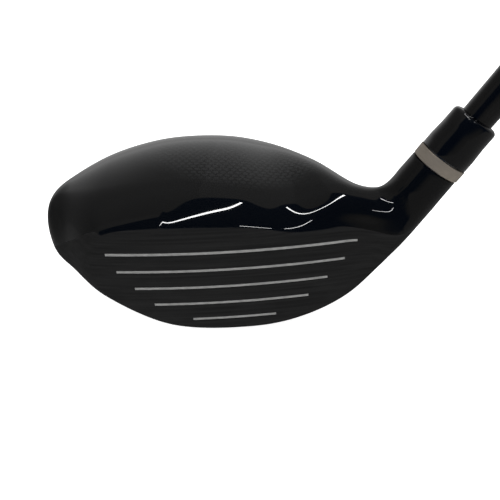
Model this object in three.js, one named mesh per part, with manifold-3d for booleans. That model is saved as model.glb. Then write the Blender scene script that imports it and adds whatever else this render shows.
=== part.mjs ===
// Adjustable fairway wood, right handed, standing at address. Millimetres, +Z up.
// -Y is the way the face looks, -X is the toe, +X is the heel, and the shaft leans toward +X.
// The origin is in the middle of the sole's flat.
import * as THREE from 'three';
import { ParametricGeometry } from 'three/addons/geometries/ParametricGeometry.js';
import { mergeVertices, toCreasedNormals } from 'three/addons/utils/BufferGeometryUtils.js';
import Module from 'manifold-3d';

const wasm = await Module();
wasm.setup();

// ---------------------------------------------------------------- driving dimensions
const CLEARANCE = 0.3;          // gap between pieces that meet

// Head, outside
const TOE_REACH = 56.5;         // middle of the face to the end of the toe
const HEAD_DEPTH = 87;          // leading edge to trailing edge
const CROWN_HEIGHT = 38;        // sole to the highest point of the crown
const CROWN_FULLNESS = 2.2;     // exponent of the crown side of each section
const SOLE_FULLNESS = 2.35;     // exponent of the sole side of each section

// Face
const LOFT = 15.5;              // degrees, face leaning back
const BULGE = 280;              // radius of the face from heel to toe
const ROLL = 270;               // radius of the face from sole to crown
const FACE_MIDDLE_X = -0.5;
const FACE_MIDDLE_Z = 18;
const LEADING_EDGE_Z = 3.5;     // height at which the face meets y = 0
const HEEL_RELIEF = 0.03;       // how fast the face runs forward into the neck
const HEEL_RELIEF_X = 34;
const HEEL_RELIEF_TOP = 0.05;   // more of it above this height, so that the top line falls
const HEEL_RELIEF_TOP_Z = 27;
const FACE_THICKNESS = 2.4;
const FACE_RIM = 2;             // width of the body's rim round the face plate
const FACE_HEEL_X = 39;         // where the face plate ends at the heel
const FACE_HEEL_RADIUS = 60;

// Score lines
const SCORE_TOP_Z = 25.5;
const SCORE_PITCH = 5.03;       // along the face
const SCORE_WIDTH = 1.1;
const SCORE_DEPTH = 0.9;
const SCORE_SPANS = [[-36, 34], [-33.5, 30.5], [-29, 25.5], [-24, 20], [-13.5, 10.5]];
const FILL_WIDTH = 0.6;
const FILL_THICKNESS = 0.5;

// Shell
const WALL = 1.5;
const CROWN_SHEET = 1.2;
const CROWN_LEDGE = 4;          // ledge under the edge of the crown
const LEDGE_THICKNESS = 1.4;
const CROWN_BACK_MARGIN = 7;    // crown edge to the trailing edge
const CROWN_FRONT_MARGIN = 9;   // crown edge to the top line of the face
const CROWN_BASE_Z = 21;

// Shaft line
const LIE = 58;                 // degrees from the ground
const HOSEL_X = 28.8;           // where the shaft line meets the ground
const HOSEL_Y = 15.75;
const HOSEL_TOP = 50.4;         // distances along the shaft line start at the ground
const CLUB_LENGTH = 1085;
const SHAFT_TIP = 37.5;
const SHAFT_TIP_RADIUS = 4.3;
const SHAFT_BUTT_RADIUS = 7.6;
const SHAFT_TIP_WALL = 1.9;
const SHAFT_BUTT_WALL = 1.1;
const SLEEVE_WALL = 0.75;
const HOSEL_WALL = 1.15;
const HOSEL_COLUMN_WALL = 2;

// Adapter
const WEB_LOW = 23;             // underside of the web that the bolt pulls on
const WEB_HIGH = 26.5;
const SLEEVE_TOP = 58;
const SPLINE_COUNT = 12;
const SPLINE_LENGTH = 6;
const RING_HEIGHT = 3.3;
const RING_PROUD = 0.12;        // ring radius beyond the hosel
const FERRULE_LENGTH = 12.2;
const FERRULE_TOP_RADIUS = 5.85;
const BOLT_RADIUS = 2.5;
const BOLT_HEAD_RADIUS = 3.8;
const BOLT_HEAD_HEIGHT = 3.6;
const BOLT_LENGTH = 13.5;
const WASHER_RADIUS = 4.3;
const WASHER_THICKNESS = 1.2;
const SOCKET_RADIUS = 2;

const SOLE_FLAT_Y = 30;         // the flat's middle, behind the face's y = 0

// Sole weight and mass pad
const WEIGHT_X = -3;
const WEIGHT_Y = 45;
const WEIGHT_RADIUS = 9;
const WEIGHT_THICKNESS = 4.6;
const WEIGHT_LOW_Z = 1.4;
const WEIGHT_BOSS_WALL = 2;
const WEIGHT_SCREW_RADIUS = 2;
const WEIGHT_SCREW_HEAD_RADIUS = 3.4;
const WEIGHT_SCREW_HEAD_HEIGHT = 2.4;
const WEIGHT_SCREW_LENGTH = 9;
const PAD_WIDTH = 38;
const PAD_DEPTH = 16;
const PAD_FRONT_Y = 11;
const PAD_THICKNESS = 5;

// Grip
const GRIP_LENGTH = 268;
const TAPE_THICKNESS = 0.4;
const GRIP_MOUTH_WALL = 1.5;
const GRIP_BUTT_RADIUS = 13.2;
const CAP_THICKNESS = 3.2;
const VENT_RADIUS = 1.1;

// ---------------------------------------------------------------- derived sizes
const radians = THREE.MathUtils.degToRad;
const shaftTaper = (SHAFT_BUTT_RADIUS - SHAFT_TIP_RADIUS) / (CLUB_LENGTH - SHAFT_TIP);
const shaftRadius = (s) => SHAFT_TIP_RADIUS + shaftTaper * (s - SHAFT_TIP);
const sleeveBore = shaftRadius(SLEEVE_TOP) + CLEARANCE + 0.05;
const sleeveRadius = sleeveBore + SLEEVE_WALL;
const hoselBore = sleeveRadius + CLEARANCE;
const hoselRadius = hoselBore + HOSEL_WALL;
const recessRadius = WASHER_RADIUS + 0.45;
const columnRadius = Math.max(recessRadius, hoselBore) + HOSEL_COLUMN_WALL;
const ringLow = HOSEL_TOP + CLEARANCE;
const ringHigh = ringLow + RING_HEIGHT;
const ferruleLow = ringHigh + CLEARANCE;
const ferruleHigh = ferruleLow + FERRULE_LENGTH;
const shaftEnd = CLUB_LENGTH - CAP_THICKNESS - CLEARANCE;
const gripLow = shaftEnd - GRIP_LENGTH;

// Sections of the head, drawn for a toe reach of 56.5, a depth of 87 and a crown height of 38:
// x of the section, then y and z of its crown, sole, front and back points.
const DRAWN = { reach: 56.5, depth: 87, height: 38 };
const SECTIONS = [
  [-56.5, 32, 20.5, 32, 20.5, 32, 20.5, 32, 20.5],
  [-54.7, 32, 30, 32, 12.8, 23.9, 20.5, 43.9, 18.5],
  [-49, 33, 32.4, 32, 8.7, 17.8, 17.8, 60, 17.5],
  [-37.5, 28, 35.7, 30, 5.2, 4.6, 17.5, 74, 17.5],
  [-20, 27, 38, 30, 0.4, -1.4, 8, 82.2, 17],
  [0, 26, 37, 30, -0.3, -4, 5.8, 83.7, 17.2],
  [16, 25, 34.5, 28, 0.5, -3.7, 8.3, 76.7, 18.3],
];
// The neck: crown, sole, front and back points of the last head section, then of the section
// that turns up into the hosel, whose x and y are measured from the foot of the shaft line.
const HEEL_SECTION = [[27.2, 21, 36.6], [32, 24, 5.6], [32.5, 0.3, 14.7], [29, 53.4, 22.3]];
const NECK_SECTION = [[7, 0.8, 36], [17.2, 2.2, 16.9], [14.4, -11, 26.8], [11.6, 12, 28.2]];
const NECK_TOP = 38;
const NECK_FLARE = 0.4;

// ---------------------------------------------------------------- solids and meshes
function solidFrom(geometry) {
  const bare = geometry.clone();
  bare.deleteAttribute('normal');
  bare.deleteAttribute('uv');
  const joined = mergeVertices(bare, 1e-4);
  const kept = [];
  const old = joined.index.array;
  for (let i = 0; i < old.length; i += 3) {
    const [a, b, c] = [old[i], old[i + 1], old[i + 2]];
    if (a !== b && b !== c && c !== a) kept.push(a, b, c);
  }
  const vertProperties = joined.attributes.position.array;
  const build = (tris) => new wasm.Manifold(
    new wasm.Mesh({ numProp: 3, vertProperties, triVerts: new Uint32Array(tris) }));
  const made = build(kept);
  if (made.volume() >= 0) return made;
  const flipped = [];
  for (let i = 0; i < kept.length; i += 3) flipped.push(kept[i], kept[i + 2], kept[i + 1]);
  return build(flipped);
}

function material(color, roughness, metalness) {
  return new THREE.MeshStandardMaterial({ color, roughness, metalness });
}

function piece(name, solid, look) {
  const made = solid.getMesh();
  const geometry = new THREE.BufferGeometry();
  geometry.setAttribute('position', new THREE.BufferAttribute(made.vertProperties, 3));
  geometry.setIndex(new THREE.BufferAttribute(made.triVerts, 1));
  const mesh = new THREE.Mesh(toCreasedNormals(geometry, radians(32)), look);
  mesh.name = name;
  return mesh;
}

// Places a shape drawn round +Y, with its foot at 0, on the shaft line.
function onShaftLine(geometry) {
  return geometry
    .rotateX(Math.PI / 2)
    .rotateY(Math.PI / 2 - radians(LIE))
    .translate(HOSEL_X, HOSEL_Y, 0);
}

// A turned solid on the shaft line. The profile is radius and distance along the line.
function turned(profile, segments = 28) {
  const points = profile.map(([r, s]) => new THREE.Vector2(r, s));
  return solidFrom(onShaftLine(new THREE.LatheGeometry(points, segments)));
}

// A turned solid on an upright axis through x, y.
function upright(profile, x, y, segments = 28) {
  const points = profile.map(([r, z]) => new THREE.Vector2(r, z));
  const geometry = new THREE.LatheGeometry(points, segments);
  return solidFrom(geometry.rotateX(Math.PI / 2).translate(x, y, 0));
}

const rod = (radius, low, high) => [[0, low], [radius, low], [radius, high], [0, high]];
const tube = (inner, outer, low, high) =>
  [[inner, low], [outer, low], [outer, high], [inner, high], [inner, low]];

// ---------------------------------------------------------------- the head's surface
const fitX = (x) => (x < 0 ? x * TOE_REACH / DRAWN.reach : x);
const fitY = (y) => y * HEAD_DEPTH / DRAWN.depth;
const fitZ = (z) => z * CROWN_HEIGHT / DRAWN.height;

// The face: a bulge and roll surface that leans back by the loft.
function faceY(x, z) {
  const rise = z - LEADING_EDGE_Z;
  const start = (LEADING_EDGE_Z - FACE_MIDDLE_Z) ** 2 / (2 * ROLL);
  const roll = (z - FACE_MIDDLE_Z) ** 2 / (2 * ROLL) - start;
  const bulge = (x - FACE_MIDDLE_X) ** 2 / (2 * BULGE);
  const over = THREE.MathUtils.clamp(z - HEEL_RELIEF_TOP_Z, 0, 8);
  const slant = 0.55 * (Math.min(z, 45) - 20) + HEEL_RELIEF_TOP * over ** 2;
  const heel = THREE.MathUtils.clamp(x - HEEL_RELIEF_X + slant, 0, 45);
  return Math.tan(radians(LOFT)) * rise + bulge + roll - HEEL_RELIEF * heel * heel;
}

function hoselRing(s, radius) {
  const lie = radians(LIE);
  const centre = new THREE.Vector3(HOSEL_X + s * Math.cos(lie), HOSEL_Y, s * Math.sin(lie));
  const low = new THREE.Vector3(Math.sin(lie), 0, -Math.cos(lie));
  const back = new THREE.Vector3(0, 1, 0);
  return [
    centre.clone().addScaledVector(low, -radius),
    centre.clone().addScaledVector(low, radius),
    centre.clone().addScaledVector(back, -radius),
    centre.clone().addScaledVector(back, radius),
  ];
}

// The crown, sole, front and back points of every section, moved inwards by inset.
function sectionPoints(inset) {
  const rows = SECTIONS.map(([x, ...yz]) => [0, 2, 4, 6].map((k) =>
    new THREE.Vector3(fitX(x), fitY(yz[k]), fitZ(yz[k + 1]))));
  rows.push(HEEL_SECTION.map(([x, y, z]) => new THREE.Vector3(x, fitY(y), fitZ(z))));
  rows.push(NECK_SECTION.map(([x, y, z]) =>
    new THREE.Vector3(HOSEL_X + x, HOSEL_Y + y, fitZ(z))));
  const neckRadius = hoselRadius + NECK_FLARE;
  rows.push(hoselRing(NECK_TOP, neckRadius));
  rows.push(hoselRing((NECK_TOP + HOSEL_TOP) / 2, (neckRadius + hoselRadius) / 2));
  rows.push(hoselRing(HOSEL_TOP, hoselRadius));
  if (inset === 0) return rows;
  return rows.map(([crown, sole, front, back], i) => {
    const ends = [crown, sole, front, back].map((p) => p.clone());
    if (i > 0) {
      const down = sole.clone().sub(crown).normalize();
      const rear = back.clone().sub(front).normalize();
      ends[0].addScaledVector(down, inset);
      ends[1].addScaledVector(down, -inset);
      ends[2].addScaledVector(rear, inset);
      ends[3].addScaledVector(rear, -inset);
    }
    const toeShift = [1, 0.7, 0.35][i] ?? 0;
    ends.forEach((p) => { p.x += toeShift * inset; });
    return ends;
  });
}

function headSurface(inset) {
  const rows = sectionPoints(inset);
  const curves = [0, 1, 2, 3].map((k) =>
    new THREE.CatmullRomCurve3(rows.map((row) => row[k]), false, 'catmullrom', 0.5));
  const last = rows.length - 1;
  const toeX = rows[0][0].x;
  const firstX = rows[1][0].x;
  const slopeX = (rows[2][0].x - toeX) / 2;
  return (t, angle) => {
    const [crown, sole, front, back] = curves.map((curve) => curve.getPoint(t / last));
    if (t < 1) {
      // The toe closes square to its axis, so that it is round and not pointed.
      const rise = (firstX - toeX) * (3 * t * t - 2 * t ** 3) + slopeX * (t ** 3 - t * t);
      [crown, sole, front, back].forEach((p) => { p.x = toeX + rise; });
    }
    const blend = THREE.MathUtils.smoothstep(t, 6, 8);
    const c = Math.cos(angle);
    const s = Math.sin(angle);
    const side = c > 0 ? front : back;
    const cap = s > 0 ? crown : sole;
    const drawn = s > 0 ? CROWN_FULLNESS : SOLE_FULLNESS;
    const power = 2 / (drawn + (2 - drawn) * blend);
    const corner = new THREE.Vector3(side.x, cap.y, side.z);
    const across = Math.abs(c) ** power;
    const along = Math.abs(s) ** power;
    return corner.clone()
      .addScaledVector(side.clone().sub(corner), across)
      .addScaledVector(cap.clone().sub(corner), along);
  };
}

const FINE_ROWS = [
  0, 0.3, 0.55, 0.8, 1, 1.35, 1.7, 2, 2.5, 3, 3.5, 4, 4.5, 5, 5.5, 6, 6.35, 6.7, 7,
  7.25, 7.5, 7.75, 8, 8.3, 8.65, 9, 10, 11,
];
const COARSE_ROWS = [0, 0.4, 0.8, 1.2, 1.6, 2, 2.6, 3.3, 4, 4.75, 5.5, 6.1, 6.6, 7.1, 7.6];

// The closed solid of the head's sections, from the toe to the last row given.
function headSolid(inset, rows, sides) {
  const surface = headSurface(inset);
  const end = new THREE.Vector3();
  const lastRow = rows[rows.length - 1];
  for (let k = 0; k < sides; k++) {
    end.addScaledVector(surface(lastRow, 2 * Math.PI * (k + 0.5) / sides), 1 / sides);
  }
  const grid = new ParametricGeometry((u, v, target) => {
    const row = Math.round(v * rows.length);
    const side = Math.round(u * sides) % sides;
    if (row === rows.length) target.copy(end);
    else target.copy(surface(rows[row], 2 * Math.PI * (side + 0.5) / sides));
  }, sides, rows.length);
  return solidFrom(grid);
}

// Everything in front of the face, out to a distance behind it.
function frontBlock(behind) {
  const box = new THREE.BoxGeometry(150, 2, 90, 30, 1, 18).translate(0, 0, 25);
  const at = box.attributes.position;
  for (let i = 0; i < at.count; i++) {
    const face = faceY(at.getX(i), at.getZ(i)) + behind;
    at.setY(i, at.getY(i) > 0 ? face : -60);
  }
  return solidFrom(box);
}

// ---------------------------------------------------------------- crown opening
function crownOutline(grow) {
  const surface = sectionPoints(0);
  const curves = [0, 3].map((k) =>
    new THREE.CatmullRomCurve3(surface.map((row) => row[k]), false, 'catmullrom', 0.5));
  const last = surface.length - 1;
  const steps = [2, 3, 4, 5, 5.7, 6.2];
  const front = steps.map((t) => {
    const top = curves[0].getPoint(t / last);
    const edge = faceY(top.x, HEEL_RELIEF_TOP_Z) + CROWN_FRONT_MARGIN - grow;
    return new THREE.Vector2(top.x, edge + (t === 2 ? 6 : 0));
  });
  const back = steps.map((t) => {
    const rear = curves[1].getPoint(t / last);
    return new THREE.Vector2(rear.x, rear.y - CROWN_BACK_MARGIN + grow);
  });
  const middle = (a, b, x) => new THREE.Vector2(x, (a.y + b.y) / 2);
  const toe = middle(front[0], back[0], front[0].x - 1.5 - grow);
  const heelX = Math.max(front[5].x, back[5].x) + 1 + grow;
  const heel = middle(front[5], back[5], heelX);
  front[0].x -= grow;
  back[0].x -= grow;
  front[5].x += grow;
  back[5].x += grow;
  const shape = new THREE.Shape();
  shape.moveTo(toe.x, toe.y);
  shape.splineThru([...front, heel, ...back.reverse(), toe]);
  return shape;
}

function crownPrism(grow, low) {
  const geometry = new THREE.ExtrudeGeometry(crownOutline(grow), {
    depth: CROWN_HEIGHT + 20, bevelEnabled: false, curveSegments: 4,
  });
  return solidFrom(geometry.translate(0, 0, low));
}

// ---------------------------------------------------------------- head pieces
const front = frontBlock(0);
const behindFace = frontBlock(FACE_THICKNESS);
const outside = headSolid(0, FINE_ROWS, 40).subtract(front);
const underCrown = headSolid(CROWN_SHEET, COARSE_ROWS, 28);

// Trims the face plate's heel end to a round edge.
function heelLimit(grow) {
  const radius = FACE_HEEL_RADIUS + grow;
  const geometry = new THREE.CylinderGeometry(radius, radius, 120, 90);
  return solidFrom(geometry.translate(FACE_HEEL_X - FACE_HEEL_RADIUS, 0, FACE_MIDDLE_Z));
}

function faceOutline(inset) {
  return headSolid(inset, FINE_ROWS.filter((t) => t <= 8), 40);
}

function scoreBar(index, back, proud, width, shorten) {
  const z = SCORE_TOP_Z - index * SCORE_PITCH * Math.cos(radians(LOFT));
  const [from, to] = SCORE_SPANS[index];
  const shape = new THREE.Shape();
  const steps = 12;
  const at = (k) => from + shorten + (to - from - 2 * shorten) * k / steps;
  for (let k = 0; k <= steps; k++) {
    const x = at(k);
    if (k === 0) shape.moveTo(x, faceY(x, z) + proud);
    else shape.lineTo(x, faceY(x, z) + proud);
  }
  for (let k = steps; k >= 0; k--) shape.lineTo(at(k), faceY(at(k), z) + back);
  const geometry = new THREE.ExtrudeGeometry(shape, { depth: width, bevelEnabled: false });
  return solidFrom(geometry.translate(0, 0, z - width / 2));
}

function scored(solid) {
  return SCORE_SPANS.reduce((cut, span, i) =>
    cut.subtract(scoreBar(i, SCORE_DEPTH, -1, SCORE_WIDTH, 0)), solid);
}

function facePlate() {
  const plate = faceOutline(FACE_RIM).intersect(behindFace).subtract(front)
    .intersect(heelLimit(0));
  return scored(plate);
}

function scoreFill(index) {
  const low = SCORE_DEPTH - CLEARANCE;
  return scoreBar(index, low, low - FILL_THICKNESS, FILL_WIDTH, CLEARANCE);
}

function crownShell() {
  return outside.subtract(underCrown).intersect(crownPrism(0, CROWN_BASE_Z));
}

function crownRebate() {
  const under = headSolid(CROWN_SHEET + CLEARANCE, COARSE_ROWS, 28);
  return crownPrism(CLEARANCE, CROWN_BASE_Z - CLEARANCE).subtract(under);
}

function crownLedge() {
  const top = headSolid(WALL / 2, COARSE_ROWS, 28);
  const bottom = headSolid(CROWN_SHEET + CLEARANCE + LEDGE_THICKNESS, COARSE_ROWS, 28);
  return top.subtract(bottom)
    .intersect(crownPrism(2, CROWN_BASE_Z - 3))
    .subtract(crownPrism(-CROWN_LEDGE, CROWN_BASE_Z - 8));
}

function hollow() {
  return headSolid(WALL, COARSE_ROWS, 28).subtract(behindFace);
}

function faceOpening() {
  return faceOutline(FACE_RIM - CLEARANCE).intersect(frontBlock(FACE_THICKNESS + 0.6))
    .intersect(heelLimit(CLEARANCE));
}

function hoselColumn() {
  return turned(rod(columnRadius, -5, HOSEL_TOP)).intersect(outside);
}

function weightBoss() {
  const top = WEIGHT_LOW_Z + WEIGHT_THICKNESS + CLEARANCE + 6.5;
  const boss = upright(rod(WEIGHT_RADIUS + CLEARANCE + WEIGHT_BOSS_WALL, -2, top - 4),
    WEIGHT_X, WEIGHT_Y);
  const post = upright(rod(WEIGHT_SCREW_RADIUS + 2.6, 4, top), WEIGHT_X, WEIGHT_Y, 20);
  return boss.add(post).intersect(outside);
}

function headBody() {
  const floor = WEIGHT_LOW_Z + WEIGHT_THICKNESS + CLEARANCE;
  const screwTop = WEIGHT_LOW_Z + 0.6 + WEIGHT_SCREW_LENGTH + CLEARANCE;
  const port = [
    [0, -3], [WEIGHT_RADIUS + CLEARANCE, -3], [WEIGHT_RADIUS + CLEARANCE, floor],
    [WEIGHT_SCREW_RADIUS + CLEARANCE, floor], [WEIGHT_SCREW_RADIUS + CLEARANCE, screwTop],
    [0, screwTop],
  ];
  const bore = [
    [0, -8], [recessRadius, -8], [recessRadius, WEB_LOW], [BOLT_RADIUS + CLEARANCE, WEB_LOW],
    [BOLT_RADIUS + CLEARANCE, WEB_HIGH], [hoselBore, WEB_HIGH],
    [hoselBore, HOSEL_TOP + 5], [0, HOSEL_TOP + 5],
  ];
  const ground = solidFrom(new THREE.BoxGeometry(300, 300, 20).translate(0, 0, -10));
  return scored(outside)
    .subtract(hollow())
    .add(crownLedge())
    .subtract(crownRebate())
    .subtract(crownPrism(-CROWN_LEDGE, CROWN_BASE_Z - 4))
    .add(hoselColumn())
    .add(weightBoss())
    .subtract(faceOpening())
    .subtract(turned(bore))
    .subtract(upright(port, WEIGHT_X, WEIGHT_Y))
    .subtract(ground);
}

function massPad() {
  const inset = WALL + CLEARANCE;
  const box = new THREE.BoxGeometry(PAD_WIDTH, PAD_DEPTH, 30);
  const room = solidFrom(box.translate(-4, fitY(PAD_FRONT_Y) + PAD_DEPTH / 2, 0));
  return headSolid(inset, COARSE_ROWS, 28)
    .subtract(headSolid(inset + PAD_THICKNESS, COARSE_ROWS, 28))
    .intersect(room);
}

// ---------------------------------------------------------------- sole weight
function socket(radius, low, high) {
  // Six lobes, for a star driver.
  const shape = new THREE.Shape();
  for (let k = 0; k <= 36; k++) {
    const angle = 2 * Math.PI * k / 36;
    const r = radius * (0.88 + 0.12 * Math.cos(6 * angle));
    if (k === 0) shape.moveTo(r, 0);
    else if (k < 36) shape.lineTo(r * Math.cos(angle), r * Math.sin(angle));
  }
  shape.closePath();
  const depth = high - low;
  const geometry = new THREE.ExtrudeGeometry(shape, { depth, bevelEnabled: false });
  return geometry.translate(0, 0, low);
}

function soleWeight() {
  const high = WEIGHT_LOW_Z + WEIGHT_THICKNESS;
  const headRoom = WEIGHT_LOW_Z + 0.6 + WEIGHT_SCREW_HEAD_HEIGHT + CLEARANCE;
  const bore = WEIGHT_SCREW_RADIUS + CLEARANCE;
  const counter = WEIGHT_SCREW_HEAD_RADIUS + CLEARANCE;
  return upright([
    [counter, WEIGHT_LOW_Z], [WEIGHT_RADIUS - 0.6, WEIGHT_LOW_Z],
    [WEIGHT_RADIUS, WEIGHT_LOW_Z + 0.6], [WEIGHT_RADIUS, high], [bore, high],
    [bore, headRoom], [counter, headRoom], [counter, WEIGHT_LOW_Z],
  ], WEIGHT_X, WEIGHT_Y, 32);
}

function weightScrew() {
  const low = WEIGHT_LOW_Z + 0.6;
  const neck = low + WEIGHT_SCREW_HEAD_HEIGHT;
  const high = low + WEIGHT_SCREW_LENGTH;
  const body = upright([
    [0, low], [WEIGHT_SCREW_HEAD_RADIUS - 0.4, low], [WEIGHT_SCREW_HEAD_RADIUS, low + 0.4],
    [WEIGHT_SCREW_HEAD_RADIUS, neck], [WEIGHT_SCREW_RADIUS, neck],
    [WEIGHT_SCREW_RADIUS, high - 0.5], [WEIGHT_SCREW_RADIUS - 0.5, high], [0, high],
  ], WEIGHT_X, WEIGHT_Y, 24);
  const star = socket(SOCKET_RADIUS * 0.9, low - 1, low + 1.7);
  return body.subtract(solidFrom(star.translate(WEIGHT_X, WEIGHT_Y, 0)));
}

// ---------------------------------------------------------------- adapter
function hoselBolt() {
  const headTop = WEB_LOW - 2 * CLEARANCE - WASHER_THICKNESS;
  const headLow = headTop - BOLT_HEAD_HEIGHT;
  const tip = headTop + BOLT_LENGTH;
  const body = turned([
    [0, headLow], [BOLT_HEAD_RADIUS - 0.5, headLow], [BOLT_HEAD_RADIUS, headLow + 0.5],
    [BOLT_HEAD_RADIUS, headTop], [BOLT_RADIUS, headTop], [BOLT_RADIUS, tip - 0.7],
    [BOLT_RADIUS - 0.7, tip], [0, tip],
  ], 24);
  const star = socket(SOCKET_RADIUS, headLow - 1, headLow + 2.6);
  star.rotateY(Math.PI / 2 - radians(LIE)).translate(HOSEL_X, HOSEL_Y, 0);
  return body.subtract(solidFrom(star));
}

function boltWasher() {
  const high = WEB_LOW - CLEARANCE;
  const bore = BOLT_RADIUS + CLEARANCE;
  return turned([
    [bore, high - WASHER_THICKNESS], [WASHER_RADIUS - 0.3, high - WASHER_THICKNESS],
    [WASHER_RADIUS, high - WASHER_THICKNESS + 0.4], [WASHER_RADIUS, high],
    [bore, high], [bore, high - WASHER_THICKNESS],
  ], 24);
}

function shaftSleeve() {
  const low = WEB_HIGH + CLEARANCE;
  const threadTop = SHAFT_TIP - CLEARANCE - 1.2;
  const seat = SHAFT_TIP - CLEARANCE;
  const body = turned([
    [BOLT_RADIUS + CLEARANCE, low], [sleeveRadius - 0.6, low], [sleeveRadius, low + 0.6],
    [sleeveRadius, SLEEVE_TOP], [sleeveBore, SLEEVE_TOP], [sleeveBore, seat],
    [1.6, threadTop], [BOLT_RADIUS + CLEARANCE, threadTop - 0.6],
    [BOLT_RADIUS + CLEARANCE, low],
  ], 36);
  let splined = body;
  for (let k = 0; k < SPLINE_COUNT; k++) {
    const slot = new THREE.BoxGeometry(1, SPLINE_LENGTH, 1);
    slot.translate(sleeveRadius + 0.15, low + 1.5 + SPLINE_LENGTH / 2, 0);
    slot.rotateY(2 * Math.PI * (k + 0.25) / SPLINE_COUNT);
    splined = splined.subtract(solidFrom(onShaftLine(slot)));
  }
  return splined;
}

function adjustRing() {
  const outer = hoselRadius + RING_PROUD;
  const inner = sleeveRadius + CLEARANCE;
  return turned([
    [inner, ringLow], [outer - 0.25, ringLow], [outer, ringLow + 0.25],
    [outer, ringHigh - 0.25], [outer - 0.25, ringHigh], [inner, ringHigh], [inner, ringLow],
  ], 36);
}

function ferrule() {
  const step = SLEEVE_TOP + CLEARANCE;
  const bore = shaftRadius(ferruleHigh) + CLEARANCE;
  const wide = sleeveRadius + CLEARANCE;
  const top = FERRULE_TOP_RADIUS + hoselRadius - 6.6;
  return turned([
    [wide, ferruleLow], [hoselRadius - 0.05, ferruleLow], [hoselRadius - 0.1, ferruleLow + 3],
    [top + 0.2, ferruleHigh - 3], [top, ferruleHigh - 1.1], [top - 0.3, ferruleHigh - 0.35],
    [top - 0.9, ferruleHigh], [bore, ferruleHigh], [bore, step], [wide, step],
    [wide, ferruleLow],
  ], 36);
}

// ---------------------------------------------------------------- shaft and grip
function shaft() {
  const tipBore = SHAFT_TIP_RADIUS - SHAFT_TIP_WALL;
  const buttBore = shaftRadius(shaftEnd) - SHAFT_BUTT_WALL;
  return turned([
    [tipBore, SHAFT_TIP], [SHAFT_TIP_RADIUS, SHAFT_TIP], [shaftRadius(shaftEnd), shaftEnd],
    [buttBore, shaftEnd], [tipBore, SHAFT_TIP],
  ], 28);
}

function tipPlug() {
  return turned(rod(SHAFT_TIP_RADIUS - SHAFT_TIP_WALL - CLEARANCE, SHAFT_TIP + 0.5,
    SHAFT_TIP + 10.5), 16);
}

function gripTape() {
  const low = gripLow + 4;
  const high = shaftEnd - 1;
  const inner = (s) => shaftRadius(s) + CLEARANCE;
  return turned([
    [inner(low), low], [inner(low) + TAPE_THICKNESS, low],
    [inner(high) + TAPE_THICKNESS, high], [inner(high), high], [inner(low), low],
  ], 28);
}

function grip() {
  const inner = (s) => shaftRadius(s) + TAPE_THICKNESS + 2 * CLEARANCE;
  const mouth = inner(gripLow) + GRIP_MOUTH_WALL;
  const at = (f) => gripLow + GRIP_LENGTH * f;
  const wide = (f) => mouth + (GRIP_BUTT_RADIUS - mouth) * f;
  return turned([
    [inner(gripLow), gripLow], [mouth - 0.4, gripLow], [mouth, gripLow + 0.8],
    [wide(0.22), at(0.3)], [wide(0.45), at(0.6)], [wide(0.68), at(0.82)],
    [wide(0.9), at(0.95)], [GRIP_BUTT_RADIUS, shaftEnd - 2], [GRIP_BUTT_RADIUS, shaftEnd],
    [inner(shaftEnd), shaftEnd], [inner(gripLow), gripLow],
  ], 32);
}

function gripCap() {
  const low = shaftEnd + CLEARANCE;
  const high = low + CAP_THICKNESS;
  const stub = shaftRadius(shaftEnd) - SHAFT_BUTT_WALL - CLEARANCE;
  return turned([
    [VENT_RADIUS, low - 6], [stub - 0.5, low - 6], [stub, low - 5], [stub, low],
    [GRIP_BUTT_RADIUS, low], [GRIP_BUTT_RADIUS, high - 1.4], [GRIP_BUTT_RADIUS - 0.4, high - 0.4],
    [GRIP_BUTT_RADIUS - 1.4, high], [VENT_RADIUS, high], [VENT_RADIUS, low - 6],
  ], 32);
}

// ---------------------------------------------------------------- assembly
const looks = {
  matteBlack: material(0x1c1c1c, 0.55, 0.3),
  faceBlack: material(0x242423, 0.6, 0.4),
  crownBlack: material(0x1b1e20, 0.12, 0.0),
  scorePaint: material(0xd8d6d0, 0.7, 0.0),
  ringMetal: material(0x857c70, 0.4, 0.8),
  ferruleBlack: material(0x0c0c0d, 0.2, 0.0),
  shaftBlack: material(0x0b0a0a, 0.3, 0.0),
  gripRubber: material(0x161616, 0.85, 0.0),
  steel: material(0x8b8d90, 0.35, 1.0),
  aluminium: material(0xa5a7aa, 0.4, 1.0),
  tungsten: material(0x6f6f70, 0.45, 1.0),
  tape: material(0xc9bf9c, 0.8, 0.0),
  plug: material(0x3b3a38, 0.8, 0.0),
};

const club = new THREE.Group();
club.name = 'fairway_wood';
club.add(piece('head_body', headBody(), looks.matteBlack));
club.add(piece('face_plate', facePlate(), looks.faceBlack));
club.add(piece('crown_shell', crownShell(), looks.crownBlack));
SCORE_SPANS.forEach((span, i) => {
  club.add(piece(`score_fill_${i + 1}`, scoreFill(i), looks.scorePaint));
});
club.add(piece('mass_pad', massPad(), looks.tungsten));
club.add(piece('sole_weight', soleWeight(), looks.tungsten));
club.add(piece('weight_screw', weightScrew(), looks.steel));
club.add(piece('hosel_bolt', hoselBolt(), looks.steel));
club.add(piece('bolt_washer', boltWasher(), looks.aluminium));
club.add(piece('shaft_sleeve', shaftSleeve(), looks.aluminium));
club.add(piece('adjust_ring', adjustRing(), looks.ringMetal));
club.add(piece('ferrule', ferrule(), looks.ferruleBlack));
club.add(piece('shaft', shaft(), looks.shaftBlack));
club.add(piece('tip_plug', tipPlug(), looks.plug));
club.add(piece('grip_tape', gripTape(), looks.tape));
club.add(piece('grip', grip(), looks.gripRubber));
club.add(piece('grip_cap', gripCap(), looks.gripRubber));

// Everything above is drawn with y = 0 at the leading edge's height on the face.
club.position.y = -SOLE_FLAT_Y;

export default club;
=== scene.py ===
"""Looks of an adjustable fairway wood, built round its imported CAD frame."""

import math

import bmesh
import bpy
from bpy.props import (
    FloatProperty,
    FloatVectorProperty,
    IntProperty,
    PointerProperty,
)
from mathutils import Matrix, Vector


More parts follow.
